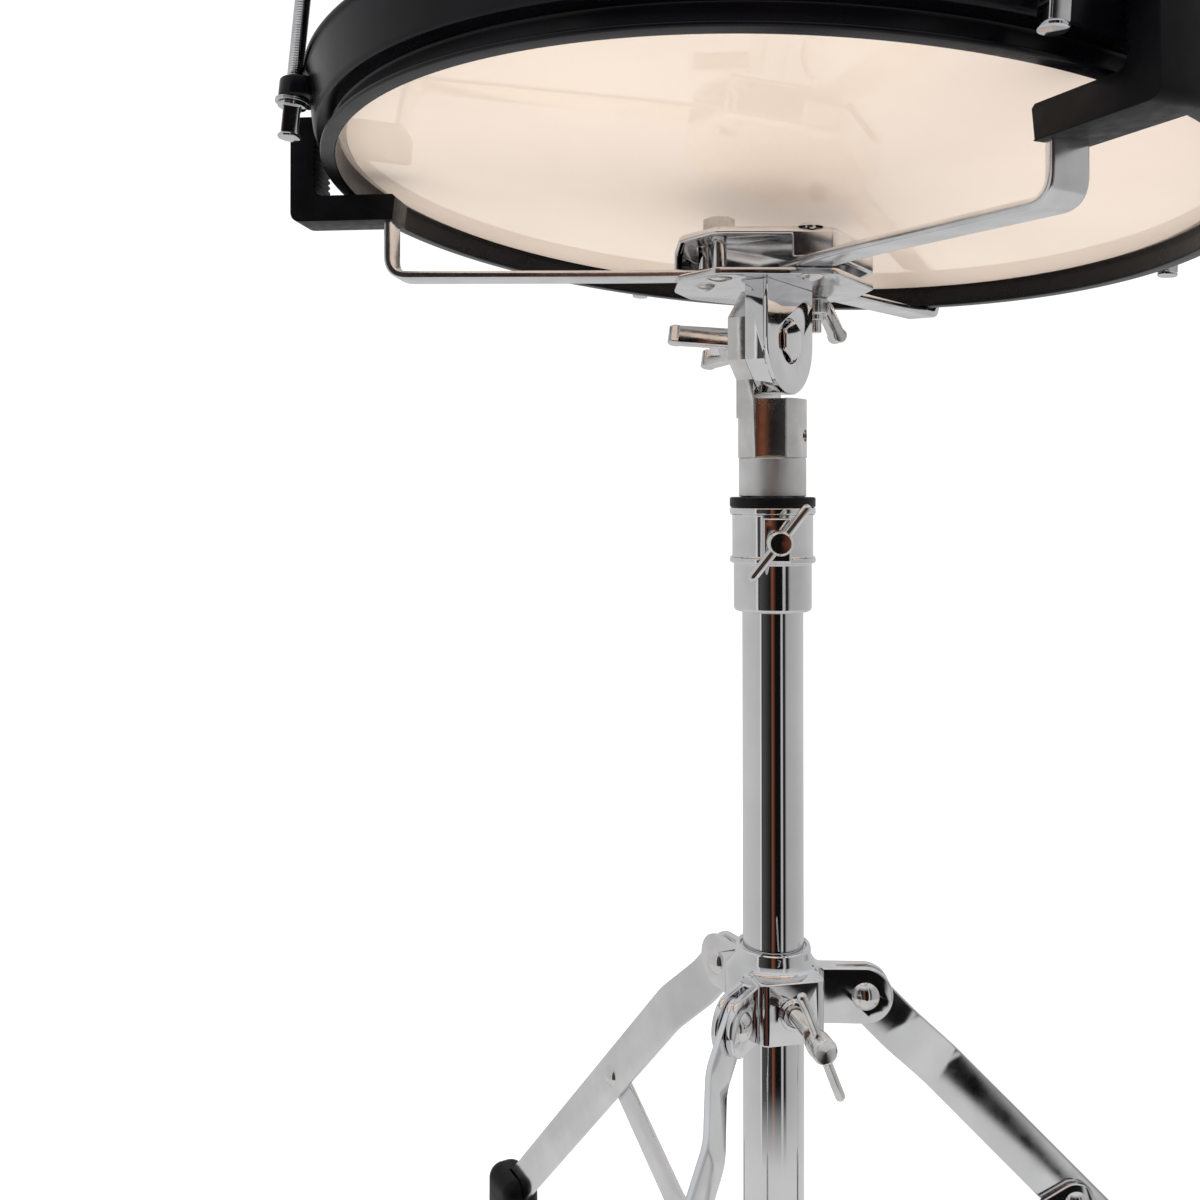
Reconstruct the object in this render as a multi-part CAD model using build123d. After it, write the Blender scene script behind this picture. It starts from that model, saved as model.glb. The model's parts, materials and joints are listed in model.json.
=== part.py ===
from build123d import *
import os
from math import cos, hypot, radians, sin

# A snare drum resting in the three-armed basket of its folding tripod stand.
# Millimetres. Origin on the floor under the stand's tube, +Z up.

# ---- stand: tubes and collars ----
TUBE_R = 12.7
TUBE_BORE_R = 11.45
TUBE_BOTTOM = 60.0
TUBE_TOP = 405.0
MAST_R = 9.525
MAST_BORE_R = 8.3
MAST_BOTTOM = 250.0
SLIDE_GAP = 0.07            # radial clearance of every running fit
COLLAR_BOTTOM = 385.5
COLLAR_TOP = 428.8
COLLAR_R = 16.8
COLLAR_RIM_R = 17.85
RING_TOP = 433.0
SLEEVE_R = 14.0
BLOCK_BOTTOM = 449.4
BLOCK_TOP = 473.8
BLOCK_SIZE = 27.0
BLOCK_RECESS_R = 10.8

# ---- tripod ----
LEG_AZIMUTHS = {"right": -2.0, "back": 118.0, "front": -122.0}
LEG_PIVOT_R = 37.5
LEG_PIVOT_Z = 226.8
FOOT_R = 251.0
FOOT_Z = 15.0
LEG_WIDTH = 20.0
STRIP_T = 2.5               # thickness of the leg and brace strips
LEG_JOGGLE = (22.0, 46.0)   # where the leg steps aside, measured from its pivot
LEG_STEP = 7.7
MID_RIVET = 125.0           # from the leg's pivot to the brace's rivet
BRACE_PIVOT_R = 24.0
BRACE_PIVOT_Z = 76.0
BRACE_WIDTH = 16.0
BRACE_JOGGLE = (26.0, 52.0)
STRIP_GAP = 0.3             # between the leg strip and the brace beside it
RIVET_R = 2.5
RIVET_HEAD_R = 5.0
PIVOT_HEAD_R = 5.7
CHEEK_END_R = 11.5
EAR_GAP = 1.55              # half of a clevis slot
BOSS_BOTTOM = 214.0
BOSS_SHOULDER = 238.0
BOSS_TOP = 247.0
BOSS_NECK_R = 15.6
BOSS_BODY_R = 20.0
T_BOLT_R = 3.0
HEIGHT_BOLT = (-93.0, 415.3)
BOSS_BOLT = (-78.0, 227.0)

# ---- tilter ----
TILT_Z = 498.0
TILT_AZIMUTH = -33.5
TONGUE_R = 22.3
TONGUE_SPAN = (-2.0, 6.6, 8.6)     # faceted slab and front disc, along the tilt axis
TONGUE_OCTAGON_R = 23.5
EAR_R = 22.8
EAR_SPAN = (-10.0, -2.3)
TILT_BOLT_R = 4.0

# ---- basket ----
PLATE_T = 3.0
PLATE_BOTTOM = 521.6
ARM_BOTTOM = 524.8
ARM_W = 15.0
ARM_T = 3.5
PAN_BOTTOM = 528.6
PAN_TOP = 541.0
PAN_WALL = 2.5
HUB_OUTLINE = [(-40, -11), (-40, 18), (-32, 38), (4, 64), (42, 42), (45, 10), (22, -28), (3, -30), (-27, -30)]
ARMS = {
    "left": {"azimuth": 173.9, "corner_r": 163.8, "corner_z": 526.4, "inner_r": 17.0},
    "front": {"azimuth": -66.1, "corner_r": 163.8, "corner_z": 521.0, "inner_r": 17.0},
    "back": {"azimuth": 56.4, "corner_r": 196.2, "corner_z": 529.5, "inner_r": 20.0},
}
ARM_RIVET_R = 28.0
CLAMP_BOLT_R = 44.0
HUB_BOLT_XY = (-24.0, -17.5)
GRIP_W = 20.0
GRIP_T = 11.0
GRIP_TAIL = 4.0             # rubber inside the arm's corner
GRIP_REACH = 42.2           # from the arm's corner out to the grip's back
GRIP_RISE = 70.0            # from the arm's underside to the grip's top
SEAT_GAP = 0.3

# ---- drum, in its own tilted frame: z from the lower rim's lip, up the shell ----
DRUM_CENTRE = (-1.8, -2.7, 550.0)
DRUM_AXIS = (0.0822, 0.0538, 0.9952)
SHELL_R = 177.8
SHELL_WALL = 6.0
SHELL_DEPTH = 139.7
HEAD_Z = 9.7
FILM_T = 0.3
EDGE_R = 174.6
RIM_Z = 29.5
RIM_T = 1.8
LIP_R = 183.9
WALL_R = 178.0
SKIRT_R = 187.2
SKIRT_TOP_R = 191.5
FLANGE_R = 193.0
EAR_SPAN_Z = (16.5, 24.0)
FLESH_Z = 11.1
EAR_TIP_R = 201.0
ROD_CIRCLE_R = 195.5
ROD_R = 3.0
LUG_COUNT = 4
LUG_PHASE = 14.0
LUG_LENGTH = 40.0
LUG_R = 7.5
DRUM_H = 2 * (HEAD_Z + FILM_T) + SHELL_DEPTH

OUT = "parts"


def save(name, *solids):
    export_step(solids[0] if len(solids) == 1 else Compound(children=list(solids)), f"{OUT}/{name}.step")


def heading(azimuth):
    return Vector(cos(radians(azimuth)), sin(radians(azimuth)), 0)


def drum_point_plane():
    nx, ny, nz = DRUM_AXIS
    return Plane(origin=DRUM_CENTRE, x_dir=(nz, 0, -nx), z_dir=(nx, ny, nz))


def lathe(points):
    return revolve(Plane.XZ * Polygon(*points, align=None), axis=Axis.Z)


def disc(radius, z0, z1):
    return Pos(0, 0, z0) * Cylinder(radius, z1 - z0, align=(Align.CENTER, Align.CENTER, Align.MIN))


def ring(outer, inner, z0, z1):
    return disc(outer, z0, z1) - disc(inner, z0 - 1, z1 + 1)


def block(x0, x1, y0, y1, z0, z1):
    size = (x1 - x0, y1 - y0, z1 - z0)
    return Pos((x0 + x1) / 2, (y0 + y1) / 2, (z0 + z1) / 2) * Box(*size)


def dome(radius, height, z0, up=True):
    """A rivet's rounded head on the plane z0."""
    ball_r = (radius * radius + height * height) / (2 * height)
    cap = Sphere(ball_r) & block(-radius, radius, -radius, radius, ball_r - height, ball_r)
    cap = Pos(0, 0, height - ball_r) * cap
    return Pos(0, 0, z0) * (cap if up else cap.mirror(Plane.XY))


def spin(shape, azimuth):
    return shape.rotate(Axis.Z, azimuth)


def around(shape, azimuths):
    return [spin(shape, a) for a in azimuths]


def plate(points, z0, z1):
    return Pos(0, 0, z0) * extrude(Polygon(*points, align=None), z1 - z0, dir=(0, 0, 1))


# ------------------------------------------------------------------ tubes


def build_tubes():
    save("lower_tube", ring(TUBE_R, TUBE_BORE_R, TUBE_BOTTOM, TUBE_TOP))
    plug = disc(TUBE_R, TUBE_BOTTOM - 4, TUBE_BOTTOM) + disc(TUBE_BORE_R, TUBE_BOTTOM, TUBE_BOTTOM + 12)
    save("tube_end_plug", plug)
    save("upper_tube", ring(MAST_R, MAST_BORE_R, MAST_BOTTOM, BLOCK_TOP - 6))
    save("collar_ring", ring(COLLAR_RIM_R, MAST_R + 0.4, COLLAR_TOP, RING_TOP))
    save("stop_sleeve", ring(SLEEVE_R, MAST_R, RING_TOP + 0.2, BLOCK_BOTTOM))


def radial_plane(azimuth, z):
    return Plane(origin=(0, 0, z), x_dir=(0, 0, 1), z_dir=heading(azimuth))


def build_height_collar():
    profile = [
        (TUBE_R, COLLAR_BOTTOM),
        (15.2, COLLAR_BOTTOM),
        (16.2, COLLAR_BOTTOM + 1.0),
        (16.2, 405.7),
        (COLLAR_RIM_R, 405.7),
        (COLLAR_RIM_R, 408.2),
        (COLLAR_R, 408.2),
        (COLLAR_R, 425.8),
        (COLLAR_RIM_R, 425.8),
        (COLLAR_RIM_R, COLLAR_TOP),
        (TUBE_R, COLLAR_TOP),
    ]
    azimuth, z = HEIGHT_BOLT
    side = radial_plane(azimuth, z)
    housing = side * block(-8.5, 9.5, -5.5, 5.5, COLLAR_R - 2.5, 22)
    collar = lathe(profile) + (housing - disc(TUBE_R, COLLAR_BOTTOM, COLLAR_TOP))
    collar -= side * disc(T_BOLT_R + SLIDE_GAP, 5, 30)
    save("height_collar", collar)
    bushing = ring(TUBE_R, MAST_R + SLIDE_GAP, TUBE_TOP, COLLAR_TOP)
    bushing -= side * disc(T_BOLT_R + 0.4, 5, 30)
    save("height_bushing", bushing)


def t_bolt(azimuth, z, tip_r, hub_r, bar_half, bar_turn):
    """A T-bolt: threaded shank, flared round hub and a crossbar with rounded ends."""
    flare = 6.0
    hub_length = 15.0
    bar_r = 1.95
    bolt = disc(T_BOLT_R, tip_r, hub_r + 1)
    bolt += Pos(0, 0, hub_r) * Cone(3.6, 4.9, flare, align=(Align.CENTER, Align.CENTER, Align.MIN))
    bolt += disc(4.9, hub_r + flare, hub_r + hub_length)
    bar = Rot(0, 90, 0) * Cylinder(bar_r, 2 * bar_half)
    for end in (-bar_half, bar_half):
        bar += Pos(end, 0, 0) * Sphere(bar_r)
    bolt += Pos(0, 0, hub_r + 0.65 * hub_length) * Rot(0, 0, bar_turn) * bar
    return radial_plane(azimuth, z) * bolt


# ------------------------------------------------------------------ tripod


def clevis(inner, pivot, end_r, wall, z0, z1):
    """Two round-ended cheeks that stand out along +X with a slot between them."""
    mid = (z0 + z1) / 2
    cheeks = block(inner, pivot, -wall, wall, z0, z1)
    cheeks += Pos(pivot, 0, mid) * Rot(90, 0, 0) * Cylinder(end_r, 2 * wall)
    return cheeks - block(inner - 1, pivot + end_r + 1, -EAR_GAP, EAR_GAP, z0 - 1, z1 + 1)


def cross_pin(x, z, radius, half):
    return Pos(x, 0, z) * Rot(90, 0, 0) * Cylinder(radius, 2 * half)


def pivot_rivet(x, z, half, head_r):
    cap = 0.48 * head_r
    pin = Cylinder(RIVET_R, 2 * half) + dome(head_r, cap, half) + dome(head_r, cap, -half, up=False)
    return Pos(x, 0, z) * Rot(90, 0, 0) * pin


def build_leg_boss():
    cheek = 4.6
    low = LEG_PIVOT_Z - CHEEK_END_R
    high = LEG_PIVOT_Z + CHEEK_END_R
    profile = [
        (12, BOSS_BOTTOM),
        (BOSS_BODY_R - 1, BOSS_BOTTOM),
        (BOSS_BODY_R, BOSS_BOTTOM + 1),
        (BOSS_BODY_R, BOSS_SHOULDER - 1),
        (BOSS_BODY_R - 1, BOSS_SHOULDER),
        (BOSS_NECK_R + 1.2, BOSS_SHOULDER + 3),
        (BOSS_NECK_R, BOSS_SHOULDER + 5),
        (BOSS_NECK_R, BOSS_TOP - 0.8),
        (BOSS_NECK_R - 0.8, BOSS_TOP),
        (14.2, BOSS_TOP),
        (13.6, BOSS_TOP - 2),
        (12, BOSS_TOP - 2),
    ]
    body = lathe(profile)
    azimuth, z = BOSS_BOLT
    side = radial_plane(azimuth, z)
    front = block(10, 24, -14, 14, low - 0.5, high + 1.2)
    front = fillet(front.edges().filter_by(Axis.Z), 4)
    body += spin(front, azimuth)
    slot_end = LEG_PIVOT_R - CHEEK_END_R
    for leg_azimuth in LEG_AZIMUTHS.values():
        ears = clevis(12, LEG_PIVOT_R, CHEEK_END_R, cheek, low, high)
        ears -= cross_pin(LEG_PIVOT_R, LEG_PIVOT_Z, RIVET_R, 20)
        web = block(12, slot_end, -EAR_GAP, EAR_GAP, low, high)
        body += spin(ears + web, leg_azimuth)
        body -= spin(block(slot_end, 60, -EAR_GAP, EAR_GAP, low - 5, high + 5), leg_azimuth)
    body += side * disc(6.0, 12, 26)
    body -= side * disc(T_BOLT_R + SLIDE_GAP, 5, 30)
    body -= disc(TUBE_R + SLIDE_GAP, BOSS_BOTTOM - 5, BOSS_TOP + 5)
    save("leg_boss", body)
    rivet = pivot_rivet(LEG_PIVOT_R, LEG_PIVOT_Z, cheek, PIVOT_HEAD_R)
    save("leg_pivot_rivets", *around(rivet, LEG_AZIMUTHS.values()))


def build_lower_collar():
    cheek = 4.6
    body = disc(15.6, 62, 92)
    body = chamfer(body.edges().group_by(Axis.Z)[-1], 1.0)
    for azimuth in LEG_AZIMUTHS.values():
        ears = clevis(10, BRACE_PIVOT_R, 9.0, cheek, BRACE_PIVOT_Z - 9, BRACE_PIVOT_Z + 9)
        ears -= cross_pin(BRACE_PIVOT_R, BRACE_PIVOT_Z, RIVET_R, 20)
        body += spin(ears, azimuth)
        body -= spin(block(15.0, 40, -EAR_GAP, EAR_GAP, 60, 95), azimuth)
    body -= disc(TUBE_R, 50, 100)
    save("lower_collar", body)
    rivet = pivot_rivet(BRACE_PIVOT_R, BRACE_PIVOT_Z, cheek, 4.5)
    save("lower_collar_rivets", *around(rivet, LEG_AZIMUTHS.values()))


def strip(length, width, tail, joggle, start, finish):
    """A flat strip on edge along +X that steps sideways, with a round end at its pivot."""
    half = STRIP_T / 2
    centre = [(-tail, start), (joggle[0], start), (joggle[1], finish), (length, finish)]
    outline = [(x, y - half) for x, y in centre] + [(x, y + half) for x, y in reversed(centre)]
    bar = extrude(Polygon(*outline, align=None), width / 2, both=True)
    pivot_end = block(0, length + 1, -30, 30, -width, width) + Rot(90, 0, 0) * Cylinder(width / 2, 60)
    bar &= pivot_end
    return bar - Rot(90, 0, 0) * Cylinder(RIVET_R + SLIDE_GAP, 60)


def slope_frame(r, z, to_r, to_z):
    """Frame with +X down a strip, +Y to its counter-clockwise side."""
    run = Vector(to_r - r, 0, to_z - z).normalized()
    return Plane(origin=(r, 0, z), x_dir=run, z_dir=run.cross(Vector(0, 1, 0)))


def side_rivet(x, y0, y1, head):
    """A rivet along +Y through a strip, its head beyond y1 when head is 1 and before y0 when -1."""
    shank = Pos(0, 0, y0) * Cylinder(RIVET_R, y1 - y0, align=(Align.CENTER, Align.CENTER, Align.MIN))
    cap = dome(RIVET_HEAD_R, 2.4, y1) if head > 0 else dome(RIVET_HEAD_R, 2.4, y0, up=False)
    return Pos(x, 0, 0) * Rot(-90, 0, 0) * (shank + cap)


def build_legs():
    leg_length = hypot(FOOT_R - LEG_PIVOT_R, LEG_PIVOT_Z - FOOT_Z)
    leg_frame = slope_frame(LEG_PIVOT_R, LEG_PIVOT_Z, FOOT_R, FOOT_Z)
    along = Vector(FOOT_R - LEG_PIVOT_R, 0, FOOT_Z - LEG_PIVOT_Z) * (MID_RIVET / leg_length)
    joint_r = LEG_PIVOT_R + along.X
    joint_z = LEG_PIVOT_Z + along.Z
    brace_length = hypot(joint_r - BRACE_PIVOT_R, joint_z - BRACE_PIVOT_Z)
    brace_frame = slope_frame(BRACE_PIVOT_R, BRACE_PIVOT_Z, joint_r, joint_z)
    half = STRIP_T / 2
    brace_y = LEG_STEP - STRIP_T - STRIP_GAP

    hole = Rot(90, 0, 0) * Cylinder(RIVET_R, 60)
    leg = strip(leg_length + 6, LEG_WIDTH, LEG_WIDTH / 2, LEG_JOGGLE, 0, LEG_STEP)
    leg -= Pos(MID_RIVET, 0, 0) * hole
    leg = leg_frame * leg
    leg_rivet = leg_frame * side_rivet(MID_RIVET, LEG_STEP - half, LEG_STEP + half, 1)

    brace = strip(brace_length + 8, BRACE_WIDTH, BRACE_WIDTH / 2, BRACE_JOGGLE, 0, brace_y)
    brace -= Pos(brace_length, 0, 0) * hole
    far_end = block(-30, brace_length, -30, 30, -20, 20)
    far_end += Pos(brace_length, 0, 0) * Rot(90, 0, 0) * Cylinder(BRACE_WIDTH / 2, 60)
    brace = brace_frame * (brace & far_end)
    brace_rivet = brace_frame * side_rivet(brace_length, brace_y - half, brace_y + half, -1)

    foot = block(FOOT_R - 18, FOOT_R + 17, LEG_STEP - 11, LEG_STEP + 11, 0, 29)
    foot = fillet(foot.edges().filter_by(Axis.Z), 9)
    foot = fillet(foot.edges().group_by(Axis.Z)[-1], 8)
    foot -= leg
    for name, azimuth in LEG_AZIMUTHS.items():
        save(f"leg_{name}", spin(leg, azimuth))
        save(f"foot_{name}", spin(foot, azimuth))
        save(f"leg_rivet_{name}", spin(leg_rivet, azimuth))
        save(f"brace_{name}", spin(brace, azimuth))
        save(f"brace_rivet_{name}", spin(brace_rivet, azimuth))


# ------------------------------------------------------------------ tilter


def tilt_plane():
    """Local z along the tilt axis, local x up, local y level."""
    return Plane(origin=(0, 0, TILT_Z), x_dir=(0, 0, 1), z_dir=heading(TILT_AZIMUTH))


def build_tilter():
    frame = tilt_plane()
    ear_low, ear_high = EAR_SPAN
    body = spin(Pos(0, 0, (BLOCK_BOTTOM + BLOCK_TOP) / 2) * Box(
        BLOCK_SIZE, BLOCK_SIZE, BLOCK_TOP - BLOCK_BOTTOM), TILT_AZIMUTH)
    body = fillet(body.edges().filter_by(Axis.Z), 11)
    recess = block(-6, 6, -BLOCK_SIZE, -BLOCK_RECESS_R, BLOCK_BOTTOM - 1, BLOCK_TOP + 1)
    body -= spin(recess, -12)
    octagon = extrude(Rot(0, 0, 22.5) * RegularPolygon(EAR_R, 8), ear_high - ear_low)
    neck = block(BLOCK_TOP - 8 - TILT_Z, 0, -BLOCK_SIZE / 2, BLOCK_SIZE / 2, 0, ear_high - ear_low)
    body += frame * (Pos(0, 0, ear_low) * (octagon + neck))
    body -= frame * disc(TILT_BOLT_R, -30, 30)
    body -= disc(MAST_R, BLOCK_BOTTOM - 1, BLOCK_TOP - 6)
    screw_plane = radial_plane(-20, 458.6)
    body -= screw_plane * disc(2.5, MAST_R - 1, 30)
    save("tilter_block", body)
    screw = screw_plane * (disc(2.5, MAST_R + 0.2, 13.2) - Pos(0, 0, 11.5) * extrude(RegularPolygon(1.5, 6), 3))
    save("block_set_screw", screw)

    low, disc_back, face = TONGUE_SPAN
    reach = PLATE_BOTTOM - TILT_Z
    flat = TONGUE_OCTAGON_R * cos(radians(22.5))
    tab = Pos(0, 0, low) * extrude(Rot(0, 0, 22.5) * RegularPolygon(TONGUE_OCTAGON_R, 8), disc_back - low)
    tab += block(0, reach, -flat, flat, low, disc_back)
    tab += disc(TONGUE_R, disc_back, face)
    tab += block(0, reach, -TONGUE_R, TONGUE_R, disc_back, face)
    tab &= block(-30, reach, -30, 30, -30, 30)
    tab -= disc(TILT_BOLT_R + SLIDE_GAP, -30, 30)
    tab -= disc(9.5, 4.4, 30)
    save("tilter_tongue", frame * tab)

    hexagon = Pos(0, 0, 4.6) * extrude(RegularPolygon(8.6, 6), 5.4)
    hexagon &= disc(8.1, 4.0, 11) + disc(8.6, 4.0, 9.2)
    save("tilter_bolt", frame * (hexagon + disc(TILT_BOLT_R, -28, 4.8)))

    nut = Pos(0, 0, ear_low - 0.2) * wing_nut(8.0, 12.6, TILT_BOLT_R, (6.5, 15.2), 28.0, 3.2, 8.0)
    save("tilter_wing_nut", frame * Rot(0, 0, -15) * nut)


def wing_nut(hub_r, hub_length, bolt_r, wing_reach, wing_drop, tip_r, thick):
    """A wing nut hanging along -Z from its seat, its two wings spread along Y."""
    near, far = wing_reach
    nut = disc(hub_r, -0.7 * hub_length, 0) + disc(hub_r - 1.8, -hub_length, -0.7 * hub_length)
    for side in (-1, 1):
        root = Vector(0, side * near, -0.42 * hub_length)
        tip = Vector(0, side * far, -wing_drop)
        run = tip - root
        wing = Plane(origin=(root + tip) * 0.5, x_dir=(1, 0, 0), z_dir=run.normalized())
        nut += wing * Box(thick, 1.6 * tip_r, run.length)
        for spot, end_r in ((root, 0.8 * tip_r), (tip, tip_r)):
            nut += Pos(spot) * Rot(0, 90, 0) * Cylinder(end_r, thick)
    return nut - disc(bolt_r + SLIDE_GAP, -wing_drop - 20, 1)


# ------------------------------------------------------------------ basket


def lip_height(x, y):
    cx, cy, cz = DRUM_CENTRE
    nx, ny, nz = DRUM_AXIS
    return cz - (nx * (x - cx) + ny * (y - cy)) / nz


def arm_levels(arm):
    """Height of the grip's seat, its outer wall's top and the bar inside its level leg."""
    out = heading(arm["azimuth"])
    aside = heading(arm["azimuth"] + 90) * (GRIP_W / 2)
    spots = [out * r + aside * side for r in (WALL_R, LIP_R) for side in (-1, 1)]
    seat = min(lip_height(p.X, p.Y) for p in spots) - SEAT_GAP
    if arm["corner_r"] > LIP_R:
        seat = arm["corner_z"] + 21.0 + GRIP_T
    return seat, arm["corner_z"] + GRIP_RISE, seat - GRIP_T / 2


def arm_bar(arm):
    seat, top, leg_z = arm_levels(arm)
    half = ARM_T / 2
    corner = arm["corner_r"]
    outer = corner + GRIP_REACH - GRIP_T / 2
    points = [
        (arm["inner_r"], 0, ARM_BOTTOM + half),
        (58, 0, ARM_BOTTOM + half),
        (corner, 0, arm["corner_z"] + half),
        (corner, 0, leg_z),
        (outer, 0, leg_z),
        (outer, 0, top - 9),
    ]
    path = FilletPolyline(*points, radius=[30, 7.5, 4.5, 4.5])
    section = Plane(origin=path @ 0, x_dir=(0, 1, 0), z_dir=path % 0) * Rectangle(ARM_W, ARM_T)
    return sweep(section, path=path)


def grip(arm, bar):
    seat, top, _ = arm_levels(arm)
    inner = arm["corner_r"] - GRIP_TAIL
    outer = arm["corner_r"] + GRIP_REACH
    points = [
        (inner, seat - GRIP_T),
        (outer - 3, seat - GRIP_T),
        (outer, seat - GRIP_T + 3),
        (outer, top),
        (outer - GRIP_T, top),
        (outer - GRIP_T, seat),
        (inner, seat),
    ]
    rubber = extrude(Plane.XZ * Polygon(*points, align=None), GRIP_W / 2, both=True)
    rubber = chamfer(rubber.edges().filter_by(GeomType.LINE).group_by(Axis.Z)[-1], 1.2)
    return rubber - bar


def plate_rivet(r, azimuth):
    pin = disc(3.0, PLATE_BOTTOM, PAN_TOP)
    pin += dome(5.5, 2.2, PAN_TOP) + dome(5.5, 2.2, PLATE_BOTTOM, up=False)
    return Pos(heading(azimuth) * r) * pin


def build_basket():
    left, front, back = ARMS["left"], ARMS["front"], ARMS["back"]
    rivet_spots = [heading(a["azimuth"]) * ARM_RIVET_R for a in (left, front)]
    clamp_spot = heading(back["azimuth"]) * CLAMP_BOLT_R
    bolt_spot = Vector(*HUB_BOLT_XY, 0)
    lower = plate(HUB_OUTLINE, PLATE_BOTTOM, PLATE_BOTTOM + PLATE_T)
    lower = fillet(lower.edges().filter_by(Axis.Z), 5)
    inner = offset(Polygon(*HUB_OUTLINE, align=None), -PAN_WALL)
    pan = fillet(plate(HUB_OUTLINE, PAN_BOTTOM, PAN_TOP).edges().filter_by(Axis.Z), 5)
    pan = chamfer(pan.edges().group_by(Axis.Z)[-1], 1.5)
    hollow = extrude(inner, PAN_TOP - PAN_WALL - PAN_BOTTOM + 1, dir=(0, 0, 1))
    pan -= Pos(0, 0, PAN_BOTTOM - 1) * hollow
    pan -= block(-45, 4, -40, 14, PAN_BOTTOM - 1, PAN_TOP - PAN_WALL - 0.8)
    for spot in rivet_spots + [clamp_spot, bolt_spot]:
        lower -= Pos(spot) * disc(3.0, 500, 560)
        pan -= Pos(spot) * disc(3.0, 500, 560)
    save("hub_lower_plate", lower)
    save("hub_upper_plate", pan)
    save("hub_rivets", plate_rivet(ARM_RIVET_R, left["azimuth"]), plate_rivet(ARM_RIVET_R, front["azimuth"]))

    bolt = dome(5.6, 1.5, PLATE_BOTTOM, up=False) + disc(3.0, PLATE_BOTTOM, PAN_TOP + 6)
    save("hub_bolt", Pos(bolt_spot) * bolt)
    clamp = disc(3.0, PLATE_BOTTOM - 15, PAN_TOP) + dome(6.2, 3.6, PAN_TOP)
    save("arm_clamp_bolt", Pos(clamp_spot) * clamp)
    wings = wing_nut(6.0, 9.5, 3.0, (5.0, 11.0), 16.0, 3.4, 7.0)
    wings = Pos(0, 0, PLATE_BOTTOM - 0.2) * Rot(0, 0, -75) * wings
    save("arm_wing_nut", Pos(clamp_spot) * wings)
    nut = Pos(0, 0, PAN_TOP) * (extrude(RegularPolygon(6.4, 6), 5.0) - disc(3.0, -1, 6))
    save("hub_nut", Pos(bolt_spot) * nut)

    for name, arm in ARMS.items():
        bar = arm_bar(arm)
        rubber = grip(arm, bar)
        if name == "back":
            slot = Pos(CLAMP_BOLT_R - 5.0, 0, 0) * extrude(SlotOverall(20.5, 6.7), 600)
            bar -= slot
        else:
            bar -= Pos(ARM_RIVET_R, 0, 0) * disc(3.0, 500, 560)
        save(f"arm_{name}", spin(bar, arm["azimuth"]))
        save(f"grip_{name}", spin(rubber, arm["azimuth"]))


# ------------------------------------------------------------------ drum


def rod_angles():
    return [LUG_PHASE + 360.0 / LUG_COUNT * k for k in range(LUG_COUNT)]


def rim():
    """A pressed triple-flanged hoop, lip down, with an ear at each tension rod."""
    lip_top = RIM_T
    shelf = 9.0
    flange_z = RIM_Z - RIM_T
    ear_low, ear_high = EAR_SPAN_Z
    profile = [
        (WALL_R, 0.6),
        (WALL_R + 0.6, 0),
        (LIP_R - 0.6, 0),
        (LIP_R, 0.6),
        (LIP_R, 1.2),
        (LIP_R - 0.6, lip_top),
        (WALL_R + RIM_T, lip_top),
        (WALL_R + RIM_T, shelf),
        (SKIRT_R - 0.6, shelf),
        (SKIRT_R, shelf + 0.6),
        (SKIRT_TOP_R, flange_z),
        (FLANGE_R, flange_z),
        (FLANGE_R, RIM_Z),
        (SKIRT_TOP_R - RIM_T, RIM_Z),
        (SKIRT_R - RIM_T, shelf + RIM_T),
        (WALL_R, shelf + RIM_T),
    ]
    hoop = lathe(profile)
    ear = block(SKIRT_R + 1.0, EAR_TIP_R - 9, -9, 9, ear_low, ear_high)
    ear += Pos(EAR_TIP_R - 9, 0, 0) * disc(9, ear_low, ear_high)
    hole = Pos(ROD_CIRCLE_R, 0, 0) * disc(ROD_R + 0.3, 0, 40)
    for part in around(ear, rod_angles()):
        hoop += part
    for part in around(hole, rod_angles()):
        hoop -= part
    return hoop


def head():
    """A film head: flat over the bearing edge, then a collar up to its flesh hoop."""
    t = FILM_T
    profile = [
        (0, HEAD_Z),
        (EDGE_R, HEAD_Z),
        (178.6, HEAD_Z + 3.0),
        (178.6, HEAD_Z + 3.0 + 1.35 * t),
        (EDGE_R + 0.3, HEAD_Z + t),
        (0, HEAD_Z + t),
    ]
    return lathe(profile)


def flesh_hoop():
    return ring(184.9, 178.65, FLESH_Z, FLESH_Z + 5.2)


def tension_rod():
    """Square key head with a small round foot, a collar, and a long M6 thread."""
    head_z = 1.6
    rod = Pos(0, 0, head_z) * Cylinder(4.3, 1.4, align=(Align.CENTER, Align.CENTER, Align.MIN))
    rod += block(-3.2, 3.2, -3.2, 3.2, head_z, 14.0)
    rod += disc(5.4, 13.6, 15.0)
    rod += disc(ROD_R, 14.0, DRUM_H / 2 - LUG_LENGTH / 2 + 16)
    return Pos(ROD_CIRCLE_R, 0, 0) * rod


def washer():
    return Pos(ROD_CIRCLE_R, 0, 0) * ring(6.5, ROD_R + 0.2, 15.0, 16.5)


def lug():
    """A tube lug: a round barrel on a pedestal, bored and threaded at both ends."""
    mid = DRUM_H / 2
    low, high = mid - LUG_LENGTH / 2, mid + LUG_LENGTH / 2
    barrel = disc(LUG_R, low, high)
    barrel = fillet(barrel.edges(), 2.0)
    body = Pos(ROD_CIRCLE_R, 0, 0) * barrel
    body += block(SHELL_R - 3, ROD_CIRCLE_R, -6, 6, mid - 15, mid + 15)
    body -= disc(SHELL_R, low - 5, high + 5)
    body -= Pos(ROD_CIRCLE_R, 0, 0) * disc(ROD_R, low - 1, low + 17)
    body -= Pos(ROD_CIRCLE_R, 0, 0) * disc(ROD_R, high - 17, high + 1)
    for z in (mid - 10, mid + 10):
        body -= Pos(0, 0, z) * Rot(0, 90, 0) * disc(2.0, 150, 186)
    return body


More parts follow.
